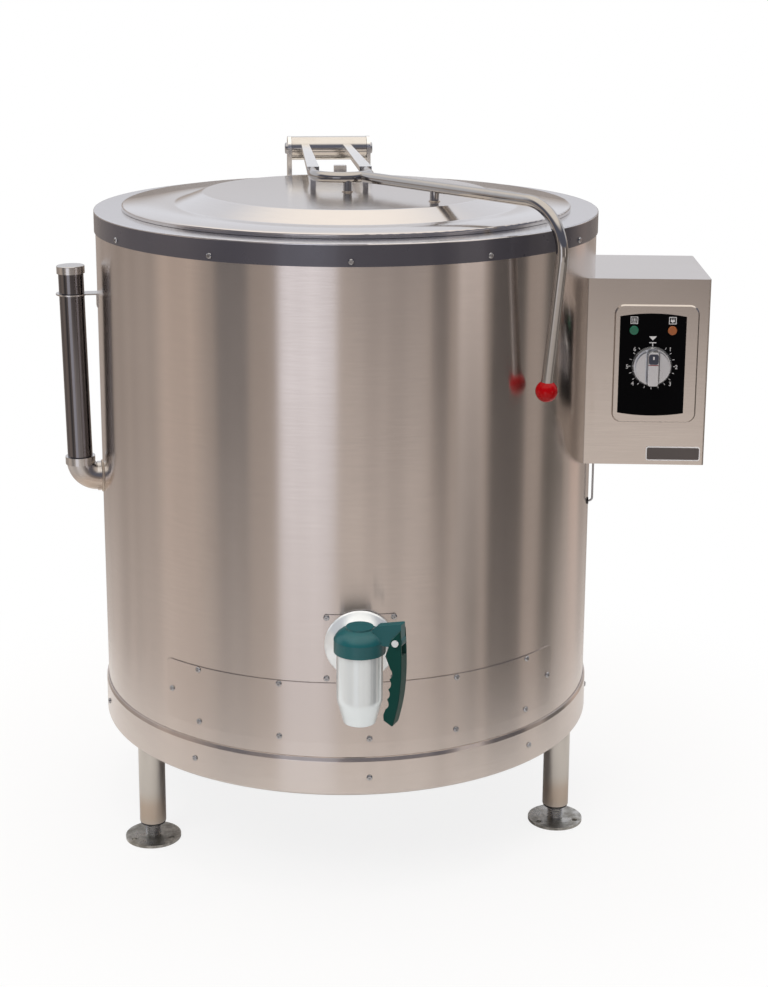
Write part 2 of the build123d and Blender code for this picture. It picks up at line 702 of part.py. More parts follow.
box_middle = (box_foot + box_top) / 2
box_inner = shell_radius - 30
box_length = box_outer - box_inner
front_face = Plane(origin=(0, -box_half, 0), x_dir=(1, 0, 0), z_dir=(0, -1, 0))
with BuildPart() as control_box:
    with Locations(((box_inner + box_outer) / 2, 0, box_middle)):
        Box(box_length, 2 * box_half, box_top - box_foot)
    fillet(control_box.edges().filter_by(Axis.Z).group_by(Axis.X)[-1], 3)
    with BuildSketch(front_face):
        with Locations((dial_out + 5, (609.6 + 776.3) / 2)):
            RectangleRounded(119.5, 171, 14)
    extrude(amount=pad_height, taper=45)
    with Locations(((box_inner + box_outer) / 2 - sheet, 0, box_middle)):
        Box(box_length, 2 * (box_half - sheet), box_top - box_foot - 2 * sheet, mode=Mode.SUBTRACT)
    clear_cylinder(shell_radius)
    with Locations((lead_out, lead_side, box_foot)):
        Cylinder(3, 20, mode=Mode.SUBTRACT)
    with Locations((gland_out, gland_back, box_foot)):
        Cylinder(8, 20, mode=Mode.SUBTRACT)
    with Locations(Location((dial_out, -box_half, dial_height), (90, 0, 0))):
        Cylinder(5, 20, mode=Mode.SUBTRACT)
    with Locations(Location((dial_out - lamp_offset, -box_half, lamp_height), (90, 0, 0)),
                   Location((dial_out + lamp_offset, -box_half, lamp_height), (90, 0, 0))):
        Cylinder(5.5, 20, mode=Mode.SUBTRACT)
save_piece(control_box, "control_box", box_turn)

pad_plane = front_face.offset(pad_height)
with BuildPart() as control_fascia:
    fascia_half = 46.75
    with BuildSketch(pad_plane):
        with BuildLine():
            Line((dial_out - fascia_half, 622), (dial_out - fascia_half, 761.6))
            ThreePointArc((dial_out - fascia_half, 761.6), (dial_out, 766), (dial_out + fascia_half, 761.6))
            Line((dial_out + fascia_half, 761.6), (dial_out + fascia_half, 622))
            ThreePointArc((dial_out + fascia_half, 622), (dial_out, 618), (dial_out - fascia_half, 622))
        make_face()
        with Locations((dial_out, dial_height)):
            Circle(5, mode=Mode.SUBTRACT)
        with Locations((dial_out - lamp_offset, lamp_height), (dial_out + lamp_offset, lamp_height)):
            Circle(5.5, mode=Mode.SUBTRACT)
    extrude(amount=fascia_thickness)
save_piece(control_fascia, "control_fascia", box_turn)

fascia_plane = pad_plane.offset(fascia_thickness)
for side, name in ((-1, "heating_lamp"), (1, "mains_lamp")):
    with BuildPart() as lamp:
        with BuildSketch(fascia_plane.offset(-22)):
            with Locations((dial_out + side * lamp_offset, lamp_height)):
                Circle(5.5)
        extrude(amount=22)
        with BuildSketch(fascia_plane):
            with Locations((dial_out + side * lamp_offset, lamp_height)):
                Circle(6.5)
        extrude(amount=2.5)
        fillet(lamp.edges().group_by(Axis.Y)[0], 1.5)
    save_piece(lamp, name, box_turn)

with BuildPart() as thermostat:
    with BuildSketch(front_face.offset(-sheet - 38)):
        with Locations((dial_out, dial_height)):
            RectangleRounded(46, 52, 4)
    extrude(amount=38)
    with BuildSketch(front_face.offset(-sheet)):
        with Locations((dial_out, dial_height)):
            Circle(3)
    extrude(amount=18)
save_piece(thermostat, "thermostat", box_turn)

knob_radius = 28.5
knob_bar_width = 16.5
knob_seat = fascia_plane.offset(0.3)
with BuildPart() as thermostat_knob:
    with BuildSketch(knob_seat) as skirt:
        with Locations((dial_out, dial_height)):
            Circle(knob_radius)
    extrude(skirt.sketch, amount=4, taper=30)
    with BuildSketch(knob_seat.offset(4)) as lobes:
        with Locations((dial_out, dial_height)):
            Circle(24.5)
            Rectangle(knob_bar_width + 2, 60, mode=Mode.SUBTRACT)
    extrude(lobes.sketch, amount=7, taper=6)
    with BuildSketch(knob_seat.offset(4)) as bar:
        with Locations((dial_out, dial_height)):
            RectangleRounded(knob_bar_width, 50, 4)
    extrude(bar.sketch, amount=18, taper=2)
    fillet(thermostat_knob.faces().sort_by(Axis.Y)[0].edges(), 1.2)
    with Locations(Location((dial_out, -box_half - pad_height - fascia_thickness - 6, dial_height), (90, 0, 0))):
        Cylinder(3 + running_gap, 18, mode=Mode.SUBTRACT)
save_piece(thermostat_knob, "thermostat_knob", box_turn)

mounting_reach = shell_radius + 3
bolt_rise = 80
with BuildPart() as mounting_plate:
    with Locations((mounting_reach, 0, box_middle)):
        Box(2, 2 * box_half - 34, 230, align=(Align.MIN, Align.CENTER, Align.CENTER))
    for rise in (-bolt_rise, bolt_rise):
        with Locations(Location((mounting_reach, 0, box_middle + rise), (0, 90, 0))):
            Cylinder(3, 10, mode=Mode.SUBTRACT)
save_piece(mounting_plate, "mounting_plate", box_turn)

with BuildPart() as mounting_bolts:
    for rise in (-bolt_rise, bolt_rise):
        with Locations(Location((shell_radius, 0, box_middle + rise), (0, 90, 0))):
            Cylinder(8, mounting_reach - shell_radius, align=(Align.CENTER, Align.CENTER, Align.MIN))
            Cylinder(3, 14, align=(Align.CENTER, Align.CENTER, Align.MIN))
        with BuildSketch(Plane.YZ.offset(mounting_reach + 2)):
            with Locations((0, box_middle + rise)):
                RegularPolygon(5.5, 6)
        extrude(amount=5)
save_piece(mounting_bolts, "mounting_bolts", box_turn)

with BuildPart() as contactor:
    with Locations((mounting_reach + 2, 48, box_middle - 30)):
        Box(62, 46, 74, align=(Align.MIN, Align.CENTER, Align.CENTER))
    with Locations((mounting_reach + 64, 48, box_middle - 30)):
        Box(14, 46, 40, align=(Align.MIN, Align.CENTER, Align.CENTER))
save_piece(contactor, "contactor", box_turn)

with BuildPart() as terminal_block:
    with Locations((mounting_reach + 2, 40, box_foot + 34)):
        Box(22, 72, 18, align=(Align.MIN, Align.CENTER, Align.CENTER))
save_piece(terminal_block, "terminal_block", box_turn)

with BuildPart() as mains_gland:
    with BuildSketch(Plane.XY.offset(box_foot + 10)):
        with Locations((gland_out, gland_back)):
            Circle(8)
            Circle(6.5, mode=Mode.SUBTRACT)
    extrude(amount=-10)
    with BuildSketch(Plane.XY.offset(box_foot)):
        with Locations((gland_out, gland_back)):
            RegularPolygon(14, 6)
            Circle(6.5, mode=Mode.SUBTRACT)
    extrude(amount=-7)
    with BuildSketch(Plane.XY.offset(box_foot - 7)):
        with Locations((gland_out, gland_back)):
            Circle(12)
            Circle(6.5, mode=Mode.SUBTRACT)
    extrude(amount=-14, taper=8)
save_piece(mains_gland, "mains_gland", box_turn)

# Capillary from the thermostat down to its pocket in the jacket wall
with BuildPart() as capillary:
    with BuildLine(Plane.XZ.offset(-lead_side)) as lead_line:
        FilletPolyline((lead_out, box_foot + 20), (lead_out, lead_height), (lead_wall - 40, lead_height),
                       radius=lead_bend)
    with BuildSketch(Plane(origin=lead_line.line @ 0, z_dir=lead_line.line % 0)):
        Circle(lead_radius)
    sweep(path=lead_line.line)
save_piece(capillary, "capillary", box_turn)

with BuildPart() as lead_grommet:
    with BuildSketch(Plane(origin=(lead_wall - 5, lead_side, lead_height), z_dir=(1, 0, 0))):
        Circle(grommet_radius)
        Circle(lead_radius + running_gap, mode=Mode.SUBTRACT)
    extrude(amount=6.5)
    clear_cylinder(shell_radius - shell_wall - 1.5)
save_piece(lead_grommet, "lead_grommet", box_turn)

with BuildPart() as sensor_pocket:
    with BuildSketch(Plane(origin=(pocket_end, lead_side, lead_height), z_dir=(1, 0, 0))):
        Circle(pocket_radius)
    extrude(amount=lagging_outer - pocket_end)
    with BuildSketch(Plane(origin=(pocket_end + 2, lead_side, lead_height), z_dir=(1, 0, 0))):
        Circle(pocket_radius - 1.5)
    extrude(amount=lagging_outer, mode=Mode.SUBTRACT)
    Cylinder(lagging_outer, 2 * rim_height, mode=Mode.INTERSECT)
save_piece(sensor_pocket, "sensor_pocket", box_turn)

# ---- Filler and expansion pipe, drawn on the left-hand centre line

with BuildPart() as filler_nipple:
    with BuildSketch(Plane.YZ.offset(-shell_radius)):
        with Locations((0, filler_height)):
            Circle(filler_radius)
            Circle(filler_radius - filler_wall, mode=Mode.SUBTRACT)
    extrude(amount=shell_radius - jacket_radius + jacket_wall)
    clear_cylinder(jacket_radius - jacket_wall)
    Cylinder(shell_radius - 0.6, 2 * rim_height, mode=Mode.INTERSECT)
save_piece(filler_nipple, "filler_nipple", filler_turn)

elbow_top = filler_height + elbow_bend
socket_height = 6
lean = radians(filler_lean)
filler_base = Plane(origin=(-filler_reach, 0, elbow_top), x_dir=(cos(lean), 0, sin(lean)),
                    z_dir=(-sin(lean), 0, cos(lean)))
with BuildPart() as filler_elbow:
    with BuildLine() as elbow_line:
        Line((-shell_radius + 4, 0, filler_height), (-filler_reach + elbow_bend, 0, filler_height))
        ThreePointArc((-filler_reach + elbow_bend, 0, filler_height),
                      (-filler_reach + elbow_bend * (1 - cos(radians(45))), 0,
                       filler_height + elbow_bend * (1 - sin(radians(45)))),
                      (-filler_reach, 0, elbow_top))
    with BuildSketch(Plane(origin=elbow_line.line @ 0, z_dir=elbow_line.line % 0)):
        Circle(elbow_radius)
        Circle(elbow_radius - 4, mode=Mode.SUBTRACT)
    sweep(path=elbow_line.line)
    with BuildSketch(filler_base.offset(-5)):
        Circle(elbow_radius + 1.5)
        Circle(elbow_radius - 1, mode=Mode.SUBTRACT)
    extrude(amount=5)
    with BuildSketch(filler_base):
        Circle(elbow_radius + 1.5)
        Circle(filler_radius + running_gap, mode=Mode.SUBTRACT)
    extrude(amount=socket_height)
    with BuildSketch(Plane.YZ.offset(-shell_radius - 8)):
        with Locations((0, filler_height)):
            Circle(elbow_radius + 1.5)
            Circle(elbow_radius - 1, mode=Mode.SUBTRACT)
    extrude(amount=8)
    clear_cylinder(shell_radius)
save_piece(filler_elbow, "filler_elbow", filler_turn)

with BuildPart() as filler_pipe:
    with BuildSketch(filler_base.offset(0.5)):
        Circle(filler_radius)
        Circle(filler_radius - filler_wall, mode=Mode.SUBTRACT)
    extrude(amount=filler_length - 0.5)
save_piece(filler_pipe, "filler_pipe", filler_turn)

with BuildPart() as filler_cap:
    with BuildSketch(filler_base.offset(filler_length - 8)):
        Circle(filler_radius + 2)
        Circle(filler_radius + running_gap, mode=Mode.SUBTRACT)
    extrude(amount=8.2)
    with BuildSketch(filler_base.offset(filler_length + 0.2)):
        Circle(filler_radius + 2)
    extrude(amount=3)
    fillet(filler_cap.edges().group_by(Axis.Z)[-1], 1.2)
save_piece(filler_cap, "filler_cap", filler_turn)

bracket_shift = -(filler_bracket_height - elbow_top) * sin(lean)
with BuildPart() as filler_bracket:
    with BuildSketch(Plane.XY.offset(filler_bracket_height)):
        with Locations((-filler_reach + bracket_shift, 0)):
            Circle(filler_radius + 4.5)
            with Locations((25, 0)):
                Rectangle(50, 24)
            Circle(filler_radius + 0.3, mode=Mode.SUBTRACT)
    extrude(amount=2)
    with Locations((-shell_radius - 1.5, 0, filler_bracket_height + 2)):
        Box(12, 24, 20, align=(Align.MIN, Align.CENTER, Align.MAX))
    clear_cylinder(shell_radius)
save_piece(filler_bracket, "filler_bracket", filler_turn)

# ---- Legs and levelling feet

leg_places = [outward(angle, leg_circle, 0).origin for angle in leg_angles.values()]
with BuildPart() as leg_bushes:
    with BuildSketch(Plane.XY.offset(leg_foot)):
        with Locations(*leg_places):
            Circle(leg_bore)
            Circle(foot_stem_radius + running_gap, mode=Mode.SUBTRACT)
    extrude(amount=22)
    with BuildSketch(Plane.XY.offset(leg_foot - 3)):
        with Locations(*leg_places):
            Circle(leg_bore + 1)
            Circle(foot_stem_radius + running_gap, mode=Mode.SUBTRACT)
    extrude(amount=3)
save_piece(leg_bushes, "leg_bushes")

for (name, angle), leg_place in zip(leg_angles.items(), leg_places):
    with BuildPart() as leg_tube:
        with BuildSketch(Plane(origin=leg_place + Vector(0, 0, leg_foot))):
            Circle(leg_radius)
            Circle(leg_bore, mode=Mode.SUBTRACT)
        extrude(amount=shell_foot - base_thickness - leg_foot)
    save_piece(leg_tube, f"leg_{name}")

    with BuildPart() as foot:
        with BuildSketch(Plane(origin=leg_place, x_dir=(sin(radians(angle)), -cos(radians(angle)), 0), z_dir=(0, 0, 1))):
            Circle(foot_radius)
            with PolarLocations(foot_hole_circle, 3):
                Circle(foot_hole_radius, mode=Mode.SUBTRACT)
        extrude(amount=foot_thickness)
        with BuildSketch(Plane(origin=leg_place + Vector(0, 0, foot_thickness))):
            Circle(foot_stem_radius)
        extrude(amount=foot_stem_top - foot_thickness)
        chamfer(foot.edges().group_by(Axis.Z)[-1], 1.5)
    save_piece(foot, f"foot_{name}")
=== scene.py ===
import math

import bmesh
import bpy
from mathutils import Matrix, Vector


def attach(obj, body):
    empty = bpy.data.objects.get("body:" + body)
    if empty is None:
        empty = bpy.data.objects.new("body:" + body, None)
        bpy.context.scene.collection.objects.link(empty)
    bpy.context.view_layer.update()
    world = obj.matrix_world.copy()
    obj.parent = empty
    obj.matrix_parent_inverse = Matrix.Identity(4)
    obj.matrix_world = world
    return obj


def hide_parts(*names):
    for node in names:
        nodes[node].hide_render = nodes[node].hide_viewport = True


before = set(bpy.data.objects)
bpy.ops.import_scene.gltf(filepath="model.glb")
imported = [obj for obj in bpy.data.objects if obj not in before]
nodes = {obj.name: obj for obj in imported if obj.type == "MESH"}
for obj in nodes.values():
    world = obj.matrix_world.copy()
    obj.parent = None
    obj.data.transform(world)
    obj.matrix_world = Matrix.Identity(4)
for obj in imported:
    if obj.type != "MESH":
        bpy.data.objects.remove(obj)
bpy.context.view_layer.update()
mm = 0.001
print("frame loaded,", len(nodes), "nodes")


# A Value wraps a socket, so node maths reads as plain expressions

class Value:
    def __init__(self, graph, socket):
        self.graph = graph
        self.socket = socket

    def math(self, operation, *others):
        return self.graph.add("ShaderNodeMath", {"operation": operation}, self, *others)

    def __add__(self, other):
        return self.math("ADD", other)

    def __sub__(self, other):
        return self.math("SUBTRACT", other)

    def __mul__(self, other):
        return self.math("MULTIPLY", other)

    def __truediv__(self, other):
        return self.math("DIVIDE", other)

    def __rsub__(self, other):
        return self.graph.add("ShaderNodeMath", {"operation": "SUBTRACT"}, other, self)

    __radd__ = __add__
    __rmul__ = __mul__

    def smooth(self, low, high):  # rises from 0 at low to 1 at high
        return self.graph.add("ShaderNodeMapRange", {"interpolation_type": "SMOOTHSTEP"},
                              self, low, high, 0.0, 1.0)

    def band(self, centre, half, edge):  # 1 near the centre, 0 past half its width
        return 1 - (self - centre).math("ABSOLUTE").smooth(half - edge / 2, half + edge / 2)

    def between(self, low, high):  # rescales 0..1 to low..high
        return self * (high - low) + low


# A Graph adds nodes to a tree: settings first, then sockets by position or by name

class Graph:
    def __init__(self, tree):
        self.tree = tree
        tree.nodes.clear()

    def add(self, kind, settings=None, *inputs, out=0, **named):
        node = self.tree.nodes.new(kind)
        for key, setting in (settings or {}).items():
            if key == "stops":
                while len(node.color_ramp.elements) < len(setting):
                    node.color_ramp.elements.new(0.5)
                for element, (place, colour) in zip(node.color_ramp.elements, setting):
                    element.position = place
                    element.color = (*colour, 1)
            else:
                setattr(node, key, setting)
        sockets = dict(enumerate(inputs))
        sockets.update({name.replace("_", " "): value for name, value in named.items()})
        for key, value in sockets.items():
            if isinstance(value, Value):
                self.tree.links.new(value.socket, node.inputs[key])
            elif isinstance(value, tuple) and node.inputs[key].type == "RGBA":
                node.inputs[key].default_value = (*value[:3], 1)
            elif value is not None:
                node.inputs[key].default_value = value
        return Value(self, node.outputs[out] if len(node.outputs) else None)

    def mix(self, factor, first, second):  # colours
        node = self.tree.nodes.new("ShaderNodeMix")
        node.data_type = "RGBA"
        for index, value in ((0, factor), (6, first), (7, second)):
            if isinstance(value, Value):
                self.tree.links.new(value.socket, node.inputs[index])
            else:
                node.inputs[index].default_value = (*value[:3], 1) if isinstance(value, tuple) else value
        return Value(self, node.outputs[2])

    def split(self, vector):
        node = self.tree.nodes.new("ShaderNodeSeparateXYZ")
        self.tree.links.new(vector.socket, node.inputs[0])
        return [Value(self, output) for output in node.outputs]

    def place(self, scale=(1, 1, 1), centre=(0, 0, 0), turn=(0, 0, 0)):  # object coordinates
        coordinates = self.add("ShaderNodeTexCoord", out=3)
        centred = self.add("ShaderNodeVectorMath", {"operation": "SUBTRACT"}, coordinates, centre)
        turned = self.add("ShaderNodeMapping", None, centred, Rotation=turn)
        return self.add("ShaderNodeVectorMath", {"operation": "MULTIPLY"}, turned, scale)

    def around(self, wide, tall):  # angle on the pan's axis, height and reach, stretched
        x, y, z = self.split(self.add("ShaderNodeTexCoord", out=3))
        angle = self.add("ShaderNodeMath", {"operation": "ARCTAN2"}, x, y * -1)
        reach = (x * x + y * y).math("SQRT")
        return self.add("ShaderNodeCombineXYZ", None, angle * wide, z * tall, reach * tall)

    def noise(self, vector, scale, detail=2.0, rough=0.5):
        return self.add("ShaderNodeTexNoise", None, Vector=vector, Scale=scale, Detail=detail,
                        Roughness=rough)

    def bump(self, height, strength, distance=0.001, normal=None):
        return self.add("ShaderNodeBump", None, Strength=strength, Distance=distance,
                        Height=height, Normal=normal)


def finish(name, build):
    material = bpy.data.materials.new(name)
    material.use_nodes = True
    graph = Graph(material.node_tree)
    shader = graph.add("ShaderNodeBsdfPrincipled", None, **build(graph))
    graph.add("ShaderNodeOutputMaterial", None, shader)
    return material


def shaded(colour, *factors):
    return tuple(part * shade for part, shade in zip(colour, factors * 3 if len(factors) == 1 else factors))


# Steel: fine brush lines, cloudy sheen, smears, and heat tint or grime near one height

steelLook = {
    "smear": (0.72, 0.62, 0.52),
    "heat": (0.84, 0.66, 0.52),
    "grime": (0.42, 0.41, 0.38),
    "lineDepth": 0.0002,
}


def steel(name, tint, rough, brush="around", wide=9.0, tall=900.0, grain=0.03, stain=0.05,
          stretch=0.0, heat=None, grime=None, seam=0.0, spun=None, bump=0.12):
    def build(graph):
        if brush == "around":
            grainSpace = graph.around(wide, tall)
        else:  # straight lines in the turned frame of the control box
            grainSpace = graph.place((wide, tall, tall), turn=(0, 0, math.radians(8)))
        lines = graph.noise(grainSpace, 1.0, 3.0, 0.7)
        cloud = graph.noise(graph.place((5, 5, 5)), 1.0, 4.0, 0.6)
        smear = graph.noise(graph.place((16, 16, 5)), 1.0, 5.0, 0.65)
        dirt = smear.smooth(0.54, 0.74) * stain
        colour = graph.mix(lines.smooth(0.3, 0.7) * 0.35, tint, shaded(tint, 0.90))
        colour = graph.mix(dirt, colour, shaded(tint, *steelLook["smear"]))
        roughness = cloud.between(rough - 0.05, rough + 0.05) + dirt * 0.15 + lines.between(-grain, grain)
        height = graph.split(graph.add("ShaderNodeTexCoord", out=3))[2]
        if heat:
            blush = height.band(*heat) * smear.between(0.2, 1.0)
            colour = graph.mix(blush, colour, shaded(tint, *steelLook["heat"]))
        if grime:
            patches = graph.noise(graph.place((60, 60, 60)), 1.0, 5.0, 0.7).smooth(0.35, 0.65)
            worn = patches * height.band(*grime)
            colour = graph.mix(worn * 0.8, colour, shaded(tint, *steelLook["grime"]))
            roughness = roughness + worn * 0.25
        relief = lines
        if seam:  # the shell's upright weld at the back
            x, y, z = graph.split(graph.add("ShaderNodeTexCoord", out=3))
            relief = lines + (x.band(0.0, seam, seam) * y.smooth(0.1, 0.2)) * 3.0
        dish = None
        if spun:  # rings left by the spinning tool on the slope, and a flange dished down to its edge
            x, y, z = graph.split(graph.add("ShaderNodeTexCoord", out=3))
            reach = (x * x + y * y).math("SQRT")
            rings = graph.noise(graph.around(1.2, 160), 1.0, 3.0, 0.6)
            relief = lines + rings * reach.band(*spun["slope"]) * 9.0
            drop = (reach - spun["dishFrom"]).math("MAXIMUM", 0.0)
            dish = graph.bump(drop * drop * -spun["dishDepth"], 1.0, 1.0)
        sockets = {"Base_Color": colour, "Metallic": 1.0, "Roughness": roughness,
                   "Normal": graph.bump(relief, bump, steelLook["lineDepth"], dish)}
        if stretch:
            sockets["Anisotropic"] = stretch
            sockets["Anisotropic_Rotation"] = 0.25
            sockets["Tangent"] = graph.add("ShaderNodeTangent", {"direction_type": "RADIAL", "axis": "Z"})
        return sockets
    return finish(name, build)


def plain(name, colour, rough, metallic=0.0, coat=0.0, speck=0.0, worn=0.2, dull=0.5):
    def build(graph):
        fine = graph.noise(graph.place((900, 900, 900)), 1.0, 2.0)
        cloud = graph.noise(graph.place((25, 25, 25)), 1.0, 3.0)
        shade = graph.mix(cloud.smooth(0.3, 0.75) * worn, colour, shaded(colour, 0.7))
        return {"Base_Color": shade, "Metallic": metallic, "Coat_Weight": coat, "Coat_Roughness": 0.05,
                "Specular_IOR_Level": dull,
                "Roughness": cloud.between(rough - 0.04, rough + 0.05),
                "Normal": graph.bump(fine, 0.04 + speck, 0.0002)}
    return finish(name, build)


spunLid = {
    "slope": (0.232, 0.03, 0.01),
    "dishFrom": 0.262,
    "dishDepth": 2.4,
}

finishes = {
    "shell": steel("shellSteel", (0.66, 0.60, 0.56), 0.20, stain=0.06, stretch=0.9, seam=0.002, bump=0.05),
    "cover": steel("coverSteel", (0.64, 0.58, 0.54), 0.22, stain=0.08, stretch=0.85, bump=0.05),
    "sheet": steel("sheetSteel", (0.62, 0.57, 0.53), 0.17, brush="straight", wide=14, tall=700, stain=0.12,
                   bump=0.03),
    "deck": steel("deckSteel", (0.68, 0.67, 0.68), 0.20, stain=0.05, bump=0.04),
    "lid": steel("lidSteel", (0.70, 0.665, 0.64), 0.15, stain=0.05, stretch=0.5, spun=spunLid, bump=0.04),
    # rod tint is painted darker than its steel: a painted dark reflection of the dim room the rods mirror
    "rod": steel("rodSteelPaintedDarkReflection", (0.45, 0.43, 0.41), 0.08, brush="straight", wide=60, tall=300, stain=0.15,
                 grain=0.02, bump=0.03),
    # arm tint is painted lighter than its steel: a painted highlight standing in for the bright reflections
    # along the arms
    "arm": steel("armSteelPaintedHighlight", (0.90, 0.89, 0.87), 0.22, brush="straight", wide=900, tall=30, stain=0.10,
                 grain=0.05, bump=0.08),
    "barrel": steel("barrelSteel", (0.66, 0.635, 0.60), 0.14, brush="straight", wide=8, tall=500, stain=0.3,
                    bump=0.03),
    "tube": steel("tubeSteel", (0.56, 0.53, 0.49), 0.10, stain=0.55, heat=(0.045, 0.02, 0.03), bump=0.02),
    "foot": steel("footSteel", (0.56, 0.55, 0.52), 0.24, brush="straight", wide=90, tall=90, stain=0.5,
                  grime=(0.004, 0.006, 0.008), bump=0.05),
    # filler pipe tint is painted far darker than its steel: a painted dark reflection of the room, not a
    # dark finish
    "filler": steel("fillerSteelPaintedDarkReflection", (0.19, 0.18, 0.185), 0.09, stain=0.3, bump=0.02),
    "elbow": steel("elbowSteel", (0.60, 0.58, 0.56), 0.20, stain=0.5, heat=(0.50, 0.015, 0.02), bump=0.06),
    "band": plain("slateBand", (0.085, 0.082, 0.100), 0.28, metallic=0.3, coat=0.3),
    "zinc": plain("zincPlate", (0.44, 0.44, 0.45), 0.18, metallic=1.0),
    "chrome": plain("chromePlate", (0.86, 0.93, 0.95), 0.10, metallic=0.5, coat=0.4, worn=0.05),
    "dish": plain("dishChrome", (0.93, 0.97, 0.98), 0.16, metallic=0.4, coat=0.5, worn=0.05),
    "green": plain("greenMoulding", (0.004, 0.105, 0.115), 0.34, coat=0.15, speck=0.1),
    "grip": plain("gripMoulding", (0.001, 0.052, 0.042), 0.38, coat=0.04, speck=0.15, dull=0.15),
    "red": plain("redBall", (0.42, 0.001, 0.003), 0.10, coat=0.2, dull=0.1),
    "fascia": plain("fasciaBlack", (0.0015, 0.0015, 0.002), 0.45, dull=0.04),
    "knob": plain("knobSilver", (0.66, 0.67, 0.69), 0.26, metallic=0.85),
    "greenLens": plain("greenLens", (0.006, 0.15, 0.08), 0.15, coat=0.4),
    "amberLens": plain("amberLens", (0.36, 0.10, 0.02), 0.15, coat=0.4),
    "bronze": plain("bushBronze", (0.50, 0.36, 0.20), 0.35, metallic=1.0),
    "brass": plain("plugBrass", (0.70, 0.55, 0.28), 0.22, metallic=1.0),
    "nylon": plain("blackNylon", (0.02, 0.02, 0.022), 0.45),
    "rubber": plain("blackRubber", (0.018, 0.018, 0.018), 0.60, speck=0.2),
    "housing": plain("greyHousing", (0.42, 0.42, 0.43), 0.45),
    "wool": plain("mineralWool", (0.55, 0.50, 0.36), 0.95, speck=0.8),
    "print": plain("whitePrint", (0.80, 0.80, 0.80), 0.45),
    "window": plain("knobWindow", (0.010, 0.018, 0.045), 0.15, coat=0.5),
    "redLine": plain("redLine", (0.20, 0.01, 0.02), 0.40),
    "plateEdge": plain("plateEdge", (0.95, 0.94, 0.93), 0.30, worn=0.05),
    "plate": plain("plateGrey", (0.085, 0.070, 0.065), 0.30, coat=0.3),
    "weld": plain("weldBead", (0.58, 0.50, 0.42), 0.34, metallic=1.0, speck=0.2),
}

wearing = {
    "shell": ["outer_shell", "skirt_ring"],
    "cover": ["access_panel", "tap_plate"],
    "sheet": ["control_box", "base_plate", "jacket_stand", "oil_jacket", "mounting_plate", "element_heads"],
    "deck": ["rim_deck", "inner_pot"],
    "lid": ["lid"],
    "rod": ["lid_yoke", "handle_rod", "handle_posts"],
    "arm": ["lid_arms", "hinge_bracket"],
    "barrel": ["hinge_barrel"],
    "tube": ["leg_left", "leg_right", "leg_rear", "outlet_pipe", "heating_elements"],
    "foot": ["foot_left", "foot_right", "foot_rear"],
    "filler": ["filler_pipe"],
    "elbow": ["filler_cap", "filler_elbow", "filler_nipple", "filler_bracket"],
    "band": ["rim_band"],
    "zinc": ["cover_screws", "rim_band_screws", "skirt_screws", "hinge_shaft", "mounting_bolts",
             "capillary", "sensor_pocket", "hinge_spring"],
    "chrome": ["tap_body", "grip_pin"],
    "dish": ["tap_rosette"],
    "green": ["tap_cap"],
    "grip": ["tap_grip"],
    "red": ["handle_ball"],
    "fascia": ["control_fascia"],
    "knob": ["thermostat_knob"],
    "greenLens": ["heating_lamp"],
    "amberLens": ["mains_lamp"],
    "bronze": ["hinge_bushes"],
    "brass": ["tap_plug"],
    "nylon": ["leg_bushes"],
    "rubber": ["mains_gland", "lead_grommet"],
    "housing": ["thermostat", "contactor", "terminal_block"],
    "wool": ["insulation_blanket"],
}
for finishName, members in wearing.items():
    for member in members:
        slots = nodes[member].data.materials
        slots.clear()
        slots.append(finishes[finishName])
for member in ("tap_cap", "tap_grip", "tap_plug"):  # kept out of the brushed steel behind the tap
    nodes[member].visible_glossy = False
print("materials on", sum(len(members) for members in wearing.values()), "nodes")


# Mesh helpers

def asObject(name, mesh, finishName=None):
    obj = bpy.data.objects.new(name, mesh)
    bpy.context.scene.collection.objects.link(obj)
    if finishName:
        mesh.materials.append(finishes[finishName])
    return obj


def meshFrom(name, points, faces=(), edges=()):
    mesh = bpy.data.meshes.new(name)
    mesh.from_pydata([tuple(point) for point in points], list(edges), list(faces))
    mesh.update()
    return mesh


def joined(name, pieces, body):  # one plain mesh of several, riding on a body
    work = bmesh.new()
    finishList = []
    for piece in pieces:
        for material in piece.data.materials:
            if material not in finishList:
                finishList.append(material)
        start = len(work.faces)
        work.from_mesh(piece.data)
        work.faces.ensure_lookup_table()
        for face in work.faces[start:]:
            face.material_index = finishList.index(piece.data.materials[face.material_index])
    mesh = bpy.data.meshes.new(name)
    work.to_mesh(mesh)
    work.free()
    for piece in pieces:
        bpy.data.objects.remove(piece)
    whole = bpy.data.objects.new(name, mesh)
    bpy.context.scene.collection.objects.link(whole)
    for material in finishList:
        mesh.materials.append(material)
    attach(whole, body)
    return whole


def outwardPoint(angle, reach, height):  # on the pan's wall, degrees from the front, millimetres
    turn = math.radians(angle)
    return Vector((math.sin(turn) * reach, -math.cos(turn) * reach, height)) * mm


# Geometry Nodes: a tree has named inputs, and grown turns its result into a plain mesh

def sizedTree(name, inputs):
    tree = bpy.data.node_groups.new(name, "GeometryNodeTree")
    tree.interface.new_socket(name="Geometry", in_out="INPUT", socket_type="NodeSocketGeometry")
    for label, kind in inputs.items():
        tree.interface.new_socket(name=label, in_out="INPUT", socket_type="NodeSocket" + kind)
    tree.interface.new_socket(name="Geometry", in_out="OUTPUT", socket_type="NodeSocketGeometry")
    graph = Graph(tree)
    entry = tree.nodes.new("NodeGroupInput")
    return graph, {socket.name: Value(graph, socket) for socket in entry.outputs if socket.name}


def closeTree(graph, geometry, material):
    real = graph.add("GeometryNodeRealizeInstances", None, geometry)
    dressed = graph.add("GeometryNodeSetMaterial", None, real, Material=material)
    graph.add("NodeGroupOutput", None, dressed)
    return graph.tree


